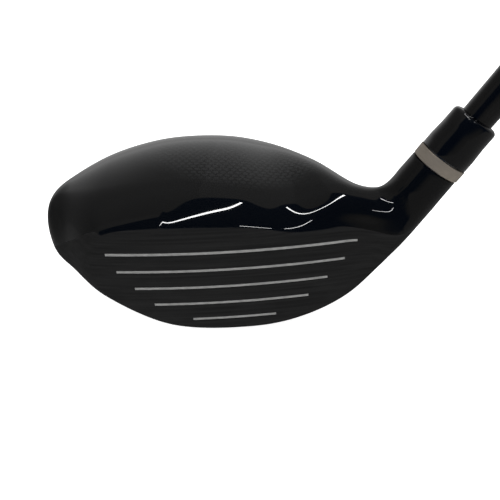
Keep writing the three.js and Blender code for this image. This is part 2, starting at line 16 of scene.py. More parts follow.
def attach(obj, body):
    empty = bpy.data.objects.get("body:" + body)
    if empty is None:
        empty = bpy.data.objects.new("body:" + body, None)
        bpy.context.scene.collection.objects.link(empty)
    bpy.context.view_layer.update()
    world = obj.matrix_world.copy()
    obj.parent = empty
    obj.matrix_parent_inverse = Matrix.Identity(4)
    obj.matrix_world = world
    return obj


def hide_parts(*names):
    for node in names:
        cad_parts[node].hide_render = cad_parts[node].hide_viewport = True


bl_info = {
    "name": "Fairway Wood",
    "version": (1, 0, 0),
    "blender": (4, 5, 0),
    "location": "View3D > Sidebar > Fairway Wood",
    "description": "Builds the finished pieces of a fairway wood on its CAD frame",
    "category": "Object",
}

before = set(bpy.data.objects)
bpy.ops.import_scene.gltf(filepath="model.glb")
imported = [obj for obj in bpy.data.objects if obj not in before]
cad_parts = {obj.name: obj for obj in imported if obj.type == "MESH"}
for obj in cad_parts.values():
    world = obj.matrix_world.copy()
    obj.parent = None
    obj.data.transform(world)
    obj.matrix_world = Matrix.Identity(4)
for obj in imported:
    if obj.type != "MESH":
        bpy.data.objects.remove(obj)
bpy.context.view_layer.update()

MM = 0.001
SOLE_FLAT_Y = 30.0          # the drawing starts this far in front of the frame's origin
FIT = 0.3                   # gap between pieces that meet, in mm

# ---------------------------------------------------------------- drawn shape of the head
# x of a section, then y and z of its crown, sole, front and back points, in mm.
SECTIONS = (
    (-56.5, 32, 20.5, 32, 20.5, 32, 20.5, 32, 20.5),
    (-54.7, 32, 30, 32, 12.8, 23.9, 20.5, 43.9, 18.5),
    (-49, 33, 32.4, 32, 8.7, 17.8, 17.8, 60, 17.5),
    (-37.5, 28, 35.7, 30, 5.2, 4.6, 17.5, 74, 17.5),
    (-20, 27, 38, 30, 0.4, -1.4, 8, 82.2, 17),
    (0, 26, 37, 30, -0.3, -4, 5.8, 83.7, 17.2),
    (16, 25, 34.5, 28, 0.5, -3.7, 8.3, 76.7, 18.3),
)
HEEL_SECTION = ((27.2, 21, 36.6), (32, 24, 5.6), (32.5, 0.3, 14.7), (29, 53.4, 22.3))
NECK_SECTION = ((7, 0.8, 36), (17.2, 2.2, 16.9), (14.4, -11, 26.8), (11.6, 12, 28.2))
CROWN_FULLNESS = 2.2
SOLE_FULLNESS = 2.35
FACE_MIDDLE_X, FACE_MIDDLE_Z = -0.5, 18.0
LEADING_EDGE_Z = 3.5
BULGE, ROLL = 280.0, 270.0
# Past a slanting line at the heel the face curves forward into the neck.
HEEL_RELIEF, HEEL_RELIEF_X = 0.03, 34.0
HEEL_RELIEF_SLANT, HEEL_RELIEF_Z, HEEL_RELIEF_HIGH = 0.55, 20, 45
HEEL_RELIEF_TOP, HEEL_RELIEF_TOP_Z = 0.05, 27.0
SCORE_TOP_Z, SCORE_PITCH = 25.5, 5.03
SCORE_SPANS = ((-36, 34), (-33.5, 30.5), (-29, 25.5), (-24, 20), (-13.5, 10.5))
GROOVE_ROOM = 0.16          # how much wider a groove is than its paint

# Columns of the head's skin in each quarter turn, from the face over the crown and back
# under the sole, and rows of it between one drawn section and the next.
SKIN_COLUMNS = (104, 70, 58, 76)
SKIN_ROWS = (22, 16, 24, 36, 38, 32, 28, 32, 14, 6, 6)
# The last rows round the hosel's lip: how far in, and how far under its top.
LIP_ROWS = ((0.0, 0.25), (0.07, 0.07), (0.22, 0.0))
# How softly the edge over the face runs into the neck, and the sole into its flat.
NECK_SOFTNESS, SOLE_SOFTNESS = 3.0, 0.25
# The box in which the ridge over the face is smoothed, and how many times.
RIDGE_X, RIDGE_Z, RIDGE_BACK, RIDGE_ROUNDS = (-20, 46), (24, 42), 20, 40

# The matt paint ends this far behind the face, and further back as it wraps round the toe.
PAINT_RIM, PAINT_WRAP, PAINT_WRAP_X = 0.7, 16, (36, 50)
# Its top line: level in the middle, sloping down at the heel, bending down at the toe.
PAINT_TOP = 60.0
PAINT_HEEL_X, PAINT_HEEL_Z, PAINT_HEEL_SLOPE = 14, 31.5, 0.13
PAINT_TOE_X, PAINT_TOE_Z, PAINT_TOE_BEND = 36, 31.2, 0.0592
PAINT_TOE_REACH, PAINT_TOE_SLOPE = 7, 0.83

# ---------------------------------------------------------------- the hosel and the shaft
LIE = 58.0
HOSEL_X, HOSEL_Y = 28.8, 15.75
NECK_TOP, HOSEL_TOP = 38.0, 50.4
SHAFT_TIP, SHAFT_END, CLUB_LENGTH = 37.5, 1081.5, 1085.0
SLEEVE_TOP = 58.0
SLEEVE_BORE, SLEEVE_RADIUS = 4.715, 5.465
HOSEL_BORE, HOSEL_RADIUS = 5.765, 6.915
NECK_FLARE = 0.4
RECESS_RADIUS = 4.75
WEB_LOW, WEB_HIGH = 23.0, 26.5
BOLT_HOLE = 2.8
RING_LOW, RING_HIGH, RING_RADIUS = 50.7, 54.0, 7.035
FERRULE_LOW, FERRULE_HIGH = 54.3, 66.5
# How far the ferrule stands out over its top radius, and how far under its top.
FERRULE_SWELL, FERRULE_SWELL_DEPTH = 0.32, 5.0
FERRULE_SHOULDER, FERRULE_SHOULDER_DEPTH, FERRULE_RISE = 0.25, 1.2, 1.1
GRIP_LOW = 813.5
CAP_HEIGHT = 3.2

# ---------------------------------------------------------------- the sole weight
WEIGHT_X, WEIGHT_Y = -3.0, 45.0
WEIGHT_LOW, WEIGHT_HIGH, WEIGHT_RADIUS = 1.4, 6.0, 9.0
PORT_RADIUS, PORT_DEPTH = 9.3, 6.3
SCREW_HOLE, SCREW_HOLE_DEPTH = 2.3, 11.3
SCREW_LOW = 2.0


def length_property(name, description, size):
    """A length, given in mm."""
    return FloatProperty(name=name, description=description, default=size * MM,
                         unit="LENGTH")


def colour_property(name, description, value):
    return FloatVectorProperty(name=name, description=description, default=value,
                               subtype="COLOR")


class HeadSizes(bpy.types.PropertyGroup):
    loft: FloatProperty(
        name="Loft",
        description="Angle that the face leans back",
        default=math.radians(15.5),
        subtype="ANGLE",
    )
    edge_round: length_property(
        "Edge rounding", "Softness of the edge between the face and the crown", 0.55)
    score_width: length_property(
        "Score line width", "Width of a painted line on the face", 0.66)
    score_depth: length_property("Score line depth", "Depth of a line's groove", 0.4)


class ShaftSizes(bpy.types.PropertyGroup):
    tip_radius: length_property(
        "Tip radius", "Radius of the shaft where it enters the sleeve", 4.3)
    butt_radius: length_property(
        "Butt radius", "Radius of the shaft under the grip's cap", 7.6)
    ferrule_top: length_property(
        "Ferrule top radius", "Radius that the ferrule's swell is added to", 6.165)
    grip_butt: length_property("Grip butt radius", "Radius of the grip at its cap", 13.2)
    grip_groove: length_property(
        "Grip groove depth", "Depth of the grooves moulded into the grip", 0.35)


class FinishColours(bpy.types.PropertyGroup):
    crown: colour_property(
        "Crown lacquer", "Colour under the clear coat", (0.0004, 0.0005, 0.0006))
    weave: colour_property(
        "Crown weave", "Colour of the weave under the clear coat", (0.010, 0.0104, 0.0108))
    face: colour_property("Face paint", "Colour of the matt face", (0.0085, 0.0085, 0.0085))
    score: colour_property(
        "Score paint", "Colour of the lines on the face", (0.21, 0.21, 0.205))
    ring: colour_property(
        "Ring metal", "Colour of the adjusting ring", (0.235, 0.205, 0.17))
    ferrule: colour_property(
        "Ferrule plastic", "Colour of the ferrule", (0.0008, 0.0008, 0.0009))
    shaft: colour_property(
        "Shaft lacquer", "Colour of the shaft", (0.0009, 0.0008, 0.0008))
    rubber: colour_property("Grip rubber", "Colour of the grip", (0.012, 0.012, 0.0125))


class StudioSettings(bpy.types.PropertyGroup):
    sky: FloatProperty(
        name="Sky",
        description="Brightness of the studio round the club",
        default=1.0,
        min=0.0,
    )
    skin_detail: IntProperty(
        name="Turned detail",
        description="Sides of a turned piece",
        default=96,
        min=12,
    )


# ---------------------------------------------------------------- small tools
def shaft_radius(s):
    sizes = bpy.context.scene.shaft_sizes
    share = (s - SHAFT_TIP) / (CLUB_LENGTH - SHAFT_TIP)
    return (sizes.tip_radius + (sizes.butt_radius - sizes.tip_radius) * share) / MM


def clamp(value, low, high):
    return max(low, min(high, value))


def smoothstep(value, low, high):
    x = clamp((value - low) / (high - low), 0.0, 1.0)
    return x * x * (3 - 2 * x)


def soft_max(a, b, width):
    return (a + b + math.hypot(a - b, width)) / 2


def placed(points):
    """Scales a drawing in mm to metres and moves it to the frame's origin."""
    return [Vector((x * MM, (y - SOLE_FLAT_Y) * MM, z * MM)) for x, y, z in points]


def shaft_line():
    """Turns a shape drawn round Z, with its foot at 0, on to the shaft's line."""
    foot = Vector((HOSEL_X, HOSEL_Y - SOLE_FLAT_Y, 0)) * MM
    lean = math.pi / 2 - math.radians(LIE)
    return Matrix.Translation(foot) @ Matrix.Rotation(lean, 4, "Y")


def upright(x, y):
    return Matrix.Translation(Vector((x, y - SOLE_FLAT_Y, 0)) * MM)


def to_object(bm, name, matrix=None, sharp=35.0):
    """Makes an object of the bmesh, smooth but for edges sharper than an angle."""
    if matrix is not None:
        bm.transform(matrix)
    for f in bm.faces:
        f.smooth = True
    mesh = bpy.data.meshes.new(name)
    bm.to_mesh(mesh)
    bm.free()
    mesh.set_sharp_from_angle(angle=math.radians(sharp))
    made = bpy.data.objects.new(name, mesh)
    bpy.context.scene.collection.objects.link(made)
    return made


def turned(profile, steps, closed=True):
    """A bmesh turned round Z. The profile is radius and height, in mm."""
    bm = bmesh.new()
    line = [bm.verts.new((r * MM, 0, h * MM)) for r, h in profile]
    edges = [bm.edges.new(pair) for pair in zip(line, line[1:])]
    if closed:
        edges.append(bm.edges.new((line[-1], line[0])))
    bmesh.ops.spin(
        bm, geom=line + edges, cent=(0, 0, 0), axis=(0, 0, 1), dvec=(0, 0, 0),
        angle=2 * math.pi, steps=steps, use_merge=True, use_duplicate=False,
    )
    bmesh.ops.remove_doubles(bm, verts=bm.verts, dist=1e-6)
    bmesh.ops.dissolve_degenerate(bm, edges=bm.edges, dist=1e-7)
    bmesh.ops.recalc_face_normals(bm, faces=bm.faces)
    return bm


def soften(bm, width, segments=3, angle=30.0):
    """Bevels every edge sharper than an angle."""
    sharp = [
        e for e in bm.edges
        if len(e.link_faces) == 2 and e.calc_face_angle(0) > math.radians(angle)
    ]
    bmesh.ops.bevel(
        bm, geom=sharp, offset=width * MM, offset_type="OFFSET", segments=segments,
        profile=0.5, affect="EDGES", clamp_overlap=True, material=-1,
    )
    bmesh.ops.recalc_face_normals(bm, faces=bm.faces)


def cut(piece, cutters, sharp=35.0):
    """Cuts the cutters' solids out of the piece, and removes the cutters."""
    for cutter in cutters:
        modifier = piece.modifiers.new(cutter.name, "BOOLEAN")
        modifier.operation = "DIFFERENCE"
        modifier.solver = "MANIFOLD"
        modifier.object = cutter
    bpy.context.view_layer.update()
    graph = bpy.context.evaluated_depsgraph_get()
    made = bpy.data.meshes.new_from_object(piece.evaluated_get(graph))
    piece.modifiers.clear()
    old = piece.data
    piece.data = made
    made.name = piece.name
    bpy.data.meshes.remove(old)
    for cutter in cutters:
        mesh = cutter.data
        bpy.data.objects.remove(cutter)
        bpy.data.meshes.remove(mesh)
    if not made.polygons:
        raise RuntimeError(f"nothing is left of {piece.name}")
    made.set_sharp_from_angle(angle=math.radians(sharp))


def finish_piece(piece, material, body, slot, *nodes):
    piece.data.materials.clear()
    piece.data.materials.append(material)
    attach(piece, body)
    if nodes:
        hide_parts(*nodes)


# ---------------------------------------------------------------- materials
class Recipe:
    """Builds one material's nodes round a Principled shader."""

    def __init__(self, name, **values):
        self.material = bpy.data.materials.new(name)
        self.material.use_nodes = True
        self.nodes = self.material.node_tree.nodes
        self.links = self.material.node_tree.links
        self.nodes.clear()
        self.shader = self.nodes.new("ShaderNodeBsdfPrincipled")
        output = self.nodes.new("ShaderNodeOutputMaterial")
        self.links.new(self.shader.outputs[0], output.inputs["Surface"])
        self.coordinates = self.nodes.new("ShaderNodeTexCoord")
        for socket, value in values.items():
            self.shader.inputs[socket.replace("_", " ")].default_value = value

    def feed(self, source, target, socket):
        if isinstance(source, bpy.types.NodeSocket):
            self.links.new(source, target.inputs[socket])
        else:
            target.inputs[socket].default_value = source

    def add(self, kind, output, inputs, **fields):
        """Adds a node with its fields and inputs, and returns one of its outputs."""
        node = self.nodes.new("ShaderNode" + kind)
        for field, value in fields.items():
            setattr(node, field, value)
        for socket, source in inputs.items():
            self.feed(source, node, socket)
        return node.outputs[output]

    def place(self, scale=(1, 1, 1), shift=(0, 0, 0), turn=(0, 0, 0)):
        inputs = {"Vector": self.coordinates.outputs["Object"],
                  "Scale": scale, "Location": shift, "Rotation": turn}
        return self.add("Mapping", 0, inputs, vector_type="POINT")

    def noise(self, vector, scale, detail=4.0, rough=0.5):
        inputs = {"Vector": vector, "Scale": scale, "Detail": detail, "Roughness": rough}
        return self.add("TexNoise", "Fac", inputs)

    def math(self, operation, a, b=0.0):
        return self.add("Math", 0, {0: a, 1: b}, operation=operation)

    def ramp(self, value, low, high, to_low=0.0, to_high=1.0, smooth=False):
        inputs = {"Value": value, "From Min": low, "From Max": high,
                  "To Min": to_low, "To Max": to_high}
        kind = "SMOOTHSTEP" if smooth else "LINEAR"
        return self.add("MapRange", "Result", inputs, interpolation_type=kind)

    def away(self, value, middle, reach, power):
        """The distance from a middle as a share of a reach, raised to a power."""
        off = self.math("DIVIDE", self.math("SUBTRACT", value, middle), reach)
        return self.math("POWER", off, power)

    def mix(self, share, a, b):
        a, b = ((*c, 1.0) if isinstance(c, tuple) else c for c in (a, b))
        return self.add("Mix", 2, {0: share, 6: a, 7: b}, data_type="RGBA")

    def grey(self, value):
        return self.add("CombineColor", 0, {0: value, 1: value, 2: value})

    def combine(self, x, y, z):
        return self.add("CombineXYZ", 0, {0: x, 1: y, 2: z})

    def attribute(self, name):
        return self.add("Attribute", "Fac", {}, attribute_name=name)

    def split(self, vector):
        node = self.nodes.new("ShaderNodeSeparateXYZ")
        self.feed(vector, node, 0)
        return node.outputs

    def bump(self, height, distance, strength=1.0):
        inputs = {"Height": height, "Distance": distance, "Strength": strength}
        return self.add("Bump", "Normal", inputs)

    def set(self, **sockets):
        for socket, source in sockets.items():
            self.feed(source, self.shader, socket.replace("_", " "))
        return self.material


def tinted(colour, factor):
    return tuple(c * factor for c in colour)


def hexagons(recipe, pitch):
    """Distance from the nearest cell's middle to its edge, 0 to 1, on a hexagonal grid."""
    x, y, _ = recipe.split(recipe.place())
    rows = []
    for shift in (0.0, 0.5):
        across = recipe.math("ADD", recipe.math("DIVIDE", x, pitch), shift)
        along = recipe.math("ADD", recipe.math("DIVIDE", y, pitch * math.sqrt(3)), shift)
        dx, dy = (
            recipe.math("ABSOLUTE", recipe.math("SUBTRACT", recipe.math("FRACT", v), 0.5))
            for v in (across, along)
        )
        dy = recipe.math("MULTIPLY", dy, math.sqrt(3))
        slant = recipe.math("ADD", recipe.math("MULTIPLY", dx, 0.5),
                            recipe.math("MULTIPLY", dy, math.sqrt(3) / 2))
        rows.append(recipe.math("MAXIMUM", dx, slant))
    return recipe.math("MULTIPLY", recipe.math("MINIMUM", rows[0], rows[1]), 2.0)


WEAVE_X, WEAVE_Y, WEAVE_REACH, WEAVE_PITCH = 0.004, 0.026, 0.036, 0.0022


def head_finish():
    """Clear lacquer over a fine hexagonal weave on the crown, and a matt brushed face."""
    colours = bpy.context.scene.finish_colours
    crown, face = tuple(colours.crown), tuple(colours.face)
    recipe = Recipe("crown_and_face", Coat_Roughness=0.03, Coat_IOR=1.5, Specular_IOR_Level=0.12)
    matt = recipe.ramp(recipe.attribute("paint_edge"), -0.06, 0.06, 1.0, 0.0)
    gloss = recipe.math("SUBTRACT", 1.0, matt)

    # The weave shows in the middle of the crown and fades towards its rim.
    x, y, z = recipe.split(recipe.place())
    away = recipe.math("ADD", recipe.away(x, WEAVE_X, WEAVE_REACH, 2.0),
                       recipe.away(y, WEAVE_Y, WEAVE_REACH, 2.0))
    inside = recipe.ramp(away, 0.55, 1.0, 1.0, 0.0, smooth=True)
    inside = recipe.math("MULTIPLY", inside, recipe.ramp(z, 0.020, 0.026))
    cell = hexagons(recipe, WEAVE_PITCH)
    weave = recipe.math("MULTIPLY", inside, recipe.ramp(cell, 0.55, 0.95, 1.0, 0.0, smooth=True))
    flake = recipe.noise(recipe.place(), 900.0, 2.0)
    base = recipe.mix(weave, crown, tuple(colours.weave))
    base = recipe.mix(recipe.ramp(flake, 0.45, 0.75, 0.0, 0.35), base, tinted(crown, 1.7))

    # Fine lines along the face, with wear in patches.
    lines = recipe.noise(recipe.place(scale=(30, 400, 2200)), 1.0, 3.0, 0.6)
    wear = recipe.noise(recipe.place(scale=(60, 60, 160)), 1.0, 5.0, 0.6)
    brushed = recipe.mix(recipe.ramp(lines, 0.3, 0.72), tinted(face, 0.72), tinted(face, 1.42))
    brushed = recipe.mix(recipe.ramp(wear, 0.52, 0.8, 0.0, 0.4), brushed, tinted(face, 1.9))
    grain = recipe.noise(recipe.place(), 2600.0, 3.0)
    height = recipe.math("ADD", recipe.math("MULTIPLY", lines, matt),
                         recipe.math("MULTIPLY", grain, 0.25))
    normal = recipe.bump(height, 0.00006, recipe.math("MULTIPLY", matt, 0.6))
    dust = recipe.noise(recipe.place(), 300.0, 6.0, 0.7)
    rough = recipe.math("SUBTRACT", 0.9, recipe.math("MULTIPLY", matt, 0.38))
    rough = recipe.math("ADD", rough, recipe.ramp(dust, 0.4, 0.8, 0.0, 0.10))
    return recipe.set(
        Base_Color=recipe.mix(matt, base, brushed),
        Roughness=rough,
        Coat_Weight=gloss,
        Normal=normal,
    )


def score_finish():
    colour = tuple(bpy.context.scene.finish_colours.score)
    recipe = Recipe("score_paint", Roughness=0.6)
    worn = recipe.noise(recipe.place(scale=(500, 900, 2500)), 1.0, 4.0, 0.6)
    grain = recipe.noise(recipe.place(), 6000.0, 2.0)
    paint = recipe.mix(recipe.ramp(worn, 0.35, 0.7), tinted(colour, 1.05), tinted(colour, 0.62))
    return recipe.set(Base_Color=paint, Normal=recipe.bump(grain, 0.00003, 0.5))


def round_coordinates(recipe, matrix):
    """Distance along, and angle round, the axis of a turned piece."""
    turn = matrix.inverted()
    local = recipe.place(turn=turn.to_euler("XYZ"), shift=turn.to_translation())
    x, y, z = recipe.split(local)
    return z, recipe.math("ARCTAN2", y, x)


def brushed_metal(name, colour, matrix, roughness=0.34, lines=0.5, scratch=0.3,
                  metallic=1.0):
    """Turned metal, with fine lines round its axis."""
    recipe = Recipe(name, Metallic=metallic)
    along, angle = round_coordinates(recipe, matrix)
    around = recipe.combine(recipe.math("MULTIPLY", along, 9000.0),
                            recipe.math("MULTIPLY", angle, 2.2), 0.0)
    turning = recipe.noise(around, 1.0, 4.0, 0.65)
    patches = recipe.noise(recipe.place(), 420.0, 5.0, 0.6)
    tone = recipe.mix(recipe.ramp(turning, 0.3, 0.7), tinted(colour, 1 - lines / 2),
                      tinted(colour, 1 + lines / 2))
    tone = recipe.mix(recipe.ramp(patches, 0.5, 0.75, 0.0, scratch), tone, tinted(colour, 0.55))
    rough = recipe.ramp(patches, 0.3, 0.8, roughness - 0.06, roughness + 0.12)
    return recipe.set(Base_Color=tone, Roughness=rough,
                      Normal=recipe.bump(turning, 0.00002, 0.5))


def gloss_plastic(name, colour):
    recipe = Recipe(name, Coat_Weight=1.0, Coat_Roughness=0.04, Specular_IOR_Level=0.15)
    smudge = recipe.noise(recipe.place(), 260.0, 5.0, 0.6)
    swirl = recipe.noise(recipe.place(scale=(900, 900, 3500)), 1.0, 3.0)
    tone = recipe.mix(recipe.ramp(smudge, 0.4, 0.8, 0.0, 0.6), colour, tinted(colour, 1.8))
    return recipe.set(
        Base_Color=tone,
        Roughness=recipe.ramp(smudge, 0.35, 0.8, 0.12, 0.30),
        Normal=recipe.bump(swirl, 0.00001, 0.3),
    )


def shaft_finish():
    """Wrapped fibre under a smooth lacquer."""
    colour = tuple(bpy.context.scene.finish_colours.shaft)
    recipe = Recipe("shaft_lacquer", Coat_Weight=1.0, Coat_Roughness=0.06,
                    Specular_IOR_Level=0.15)
    along, angle = round_coordinates(recipe, shaft_line())
    wrap = recipe.combine(recipe.math("MULTIPLY", along, 260.0),
                          recipe.math("MULTIPLY", angle, 9.0), 0.0)
    fibre = recipe.noise(wrap, 1.0, 5.0, 0.7)
    dust = recipe.noise(recipe.place(), 350.0, 4.0)
    tone = recipe.mix(recipe.ramp(fibre, 0.35, 0.7), tinted(colour, 0.8), tinted(colour, 1.7))
    return recipe.set(
        Base_Color=tone,
        Roughness=recipe.ramp(dust, 0.4, 0.8, 0.22, 0.36),
        Normal=recipe.bump(fibre, 0.000004, 0.3),
    )


def rubber_finish():
    colour = tuple(bpy.context.scene.finish_colours.rubber)
    recipe = Recipe("grip_rubber")
    pores = recipe.noise(recipe.place(), 2400.0, 4.0, 0.65)
    dust = recipe.noise(recipe.place(), 90.0, 6.0, 0.65)
    tone = recipe.mix(recipe.ramp(dust, 0.42, 0.78, 0.0, 0.55), colour, tinted(colour, 2.4))
    return recipe.set(
        Base_Color=tone,
        Roughness=recipe.ramp(pores, 0.3, 0.7, 0.68, 0.9),
        Normal=recipe.bump(pores, 0.00008, 0.6),
    )


def cast_metal(name, colour):
    recipe = Recipe(name, Metallic=1.0)
    grain = recipe.noise(recipe.place(), 1500.0, 5.0, 0.65)
    stain = recipe.noise(recipe.place(), 160.0, 5.0, 0.6)
    tone = recipe.mix(recipe.ramp(stain, 0.4, 0.75), tinted(colour, 1.1), tinted(colour, 0.7))
    return recipe.set(
        Base_Color=tone,
        Roughness=recipe.ramp(grain, 0.3, 0.75, 0.34, 0.58),
        Normal=recipe.bump(grain, 0.00004, 0.4),
    )


def dull_finish(name, colour):
    recipe = Recipe(name)
    fibre = recipe.noise(recipe.place(scale=(900, 900, 300)), 1.0, 5.0, 0.6)
    tone = recipe.mix(recipe.ramp(fibre, 0.3, 0.7), tinted(colour, 0.8), tinted(colour, 1.15))
    return recipe.set(
        Base_Color=tone,
        Roughness=recipe.ramp(fibre, 0.3, 0.7, 0.7, 0.9),
        Normal=recipe.bump(fibre, 0.00005, 0.5),
    )


# ---------------------------------------------------------------- the head's skin
def face_y(x, z, relief=True):
    """The face: a bulge and roll surface that leans back by the loft. In mm."""
    loft = bpy.context.scene.head_sizes.loft
    start = (LEADING_EDGE_Z - FACE_MIDDLE_Z) ** 2 / (2 * ROLL)
    roll = (z - FACE_MIDDLE_Z) ** 2 / (2 * ROLL) - start
    bulge = (x - FACE_MIDDLE_X) ** 2 / (2 * BULGE)
    flat = math.tan(loft) * (z - LEADING_EDGE_Z) + bulge + roll
    if not relief:
        return flat
    over = clamp(z - HEEL_RELIEF_TOP_Z, 0, 8)
    slant = HEEL_RELIEF_SLANT * (min(z, HEEL_RELIEF_HIGH) - HEEL_RELIEF_Z)
    slant += HEEL_RELIEF_TOP * over ** 2
    heel = clamp(x - HEEL_RELIEF_X + slant, 0, 45)
    return flat - HEEL_RELIEF * heel * heel


def hosel_ring(s, radius):
    lie = math.radians(LIE)
    centre = Vector((HOSEL_X + s * math.cos(lie), HOSEL_Y, s * math.sin(lie)))
    low = Vector((math.sin(lie), 0, -math.cos(lie)))
    back = Vector((0, 1, 0))
    return [centre - low * radius, centre + low * radius,
            centre - back * radius, centre + back * radius]


def section_points():
    """The crown, sole, front and back points of every section."""
    rows = [[Vector((x, *yz[k:k + 2])) for k in (0, 2, 4, 6)] for x, *yz in SECTIONS]
    rows.append([Vector(p) for p in HEEL_SECTION])
    foot = Vector((HOSEL_X, HOSEL_Y, 0))
    rows.append([foot + Vector(p) for p in NECK_SECTION])
    rows.append(hosel_ring(NECK_TOP, HOSEL_RADIUS + NECK_FLARE))
    rows.append(hosel_ring((NECK_TOP + HOSEL_TOP) / 2, HOSEL_RADIUS + NECK_FLARE / 2))
    rows.append(hosel_ring(HOSEL_TOP, HOSEL_RADIUS))
    return rows


def rail_point(points, t):
    """A point on the smooth curve through the points, with t counting them."""
    k = min(int(t), len(points) - 2)
    u = t - k
    p1, p2 = points[k], points[k + 1]
    p0 = points[k - 1] if k > 0 else 2 * p1 - p2
    p3 = points[k + 2] if k + 2 < len(points) else 2 * p2 - p1
    m1, m2 = (p2 - p0) / 2, (p3 - p1) / 2
    return (p1 + m1 * u + (3 * (p2 - p1) - 2 * m1 - m2) * u * u
            + (2 * (p1 - p2) + m1 + m2) * u ** 3)


def section_at(rows, t):
    ends = [rail_point([row[k] for row in rows], t) for k in range(4)]
    if t < 1:
        # The toe closes square to its axis, so that it is round and not pointed.
        first = rows[1][0].x - rows[0][0].x
        slope = (rows[2][0].x - rows[0][0].x) / 2
        rise = first * (3 * t * t - 2 * t ** 3) + slope * (t ** 3 - t * t)
        for p in ends:
            p.x = rows[0][0].x + rise
    return ends


def skin_point(ends, t, angle):
    crown, sole, front, back = ends
    blend = smoothstep(t, 6, 8)
    c, s = math.cos(angle), math.sin(angle)
    side, cap = (front if c > 0 else back), (crown if s > 0 else sole)
    drawn = CROWN_FULLNESS if s > 0 else SOLE_FULLNESS
    power = 2 / (drawn + (2 - drawn) * blend)
    corner = Vector((side.x, cap.y, side.z))
    return corner + (side - corner) * abs(c) ** power + (cap - corner) * abs(s) ** power


def skin_angles():
    angles = []
    for quarter, count in enumerate(SKIN_COLUMNS):
        angles += [(quarter + k / count) * math.pi / 2 for k in range(count)]
    return angles + [2 * math.pi]


def skin_stations():
    stations = []
    for first, count in enumerate(SKIN_ROWS):
        stations += [first + k / count for k in range(count)]
    # The first rows crowd towards the toe's pole, and the last close the hosel's lip.
    toe = SKIN_ROWS[0]
    stations[:toe] = [(k / toe) ** 1.2 for k in range(toe)]
    return stations + [len(SKIN_ROWS)] * (len(LIP_ROWS) + 1)


def head_skin():
    """The closed outside of the head, from the toe to the lip of the hosel."""
    rows, angles, stations = section_points(), skin_angles(), skin_stations()
    width = bpy.context.scene.head_sizes.edge_round / MM
    lie = math.radians(LIE)
    up = Vector((math.cos(lie), 0, math.sin(lie)))
    top = Vector((HOSEL_X, HOSEL_Y, 0)) + up * HOSEL_TOP
    last = len(stations) - 1
    bm = bmesh.new()
    bmesh.ops.create_grid(
        bm, x_segments=len(angles) - 1, y_segments=last, size=1
    )
    ends = [section_at(rows, t) for t in stations]
    for v in bm.verts:
        i = round((v.co.x + 1) / 2 * (len(angles) - 1))
        j = round((v.co.y + 1) / 2 * last)
        p = skin_point(ends[j], stations[j], angles[i])
        if j == last:
            p = top.copy()
        elif j >= last - len(LIP_ROWS):
            inward, drop = LIP_ROWS[j - (last - len(LIP_ROWS))]
            p += (top - p).normalized() * inward - up * drop
        soft = width * (1 + smoothstep(p.z, 20, 26))
        soft += NECK_SOFTNESS * smoothstep(p.x, 6, 26) * smoothstep(p.z, 26, 31)
        p.y = soft_max(p.y, face_y(p.x, p.z), soft)
        p.z = soft_max(p.z, 0.0, SOLE_SOFTNESS)
        v.co = p
    bmesh.ops.remove_doubles(bm, verts=bm.verts, dist=1e-3)
    bmesh.ops.dissolve_degenerate(bm, edges=bm.edges, dist=1e-4)
    # The ridge over the face melts into the neck.
    ridge = [
        v for v in bm.verts
        if RIDGE_X[0] < v.co.x < RIDGE_X[1] and RIDGE_Z[0] < v.co.z < RIDGE_Z[1]
        and v.co.y < RIDGE_BACK
    ]
    for _ in range(RIDGE_ROUNDS):
        bmesh.ops.smooth_vert(bm, verts=ridge, factor=0.5, use_axis_x=True,
                              use_axis_y=True, use_axis_z=True)
    for v in bm.verts:
        v.co = placed([v.co])[0]
    bmesh.ops.recalc_face_normals(bm, faces=bm.faces)
    return bm


def score_bar(index, back, proud, width, shorten=0.0):
    """A bar that follows the face along a score line, from back to proud of it. In mm."""
    middle = SCORE_TOP_Z - index * SCORE_PITCH * math.cos(bpy.context.scene.head_sizes.loft)
    start, end = SCORE_SPANS[index]
    start, end = start + shorten, end - shorten
    bm = bmesh.new()
    bmesh.ops.create_cube(bm, size=1)
    long_edges = [e for e in bm.edges if abs(e.verts[0].co.x - e.verts[1].co.x) > 0.5]
    bmesh.ops.subdivide_edges(bm, edges=long_edges, cuts=47, use_grid_fill=True)
    for v in bm.verts:
        x = start + (end - start) * (v.co.x + 0.5)
        z = middle + width * v.co.z
        y = face_y(x, z) + (back if v.co.y > 0 else -proud)
        v.co = placed([(x, y, z)])[0]
    bmesh.ops.recalc_face_normals(bm, faces=bm.faces)
    return bm


def paint_boundary(mesh):
    """Stores how far each point is from the matt paint's edge, in mm, matt below zero."""
    edge = mesh.attributes.new("paint_edge", "FLOAT", "POINT")
    for v, value in zip(mesh.vertices, edge.data):
        x, y, z = v.co.x / MM, v.co.y / MM + SOLE_FLAT_Y, v.co.z / MM
        wrap = PAINT_WRAP * smoothstep(-x, *PAINT_WRAP_X)
        behind = y - face_y(x, z, relief=False) - PAINT_RIM - wrap
        top_line = PAINT_TOP
        past_toe = -x - PAINT_TOE_X
        if x > PAINT_HEEL_X:
            top_line = PAINT_HEEL_Z - PAINT_HEEL_SLOPE * (x - PAINT_HEEL_X)
        elif past_toe > 0:
            top_line = PAINT_TOE_Z - PAINT_TOE_BEND * min(past_toe, PAINT_TOE_REACH) ** 2
            top_line -= PAINT_TOE_SLOPE * max(past_toe - PAINT_TOE_REACH, 0)
        value.value = clamp(max(behind, z - top_line), -4, 4)


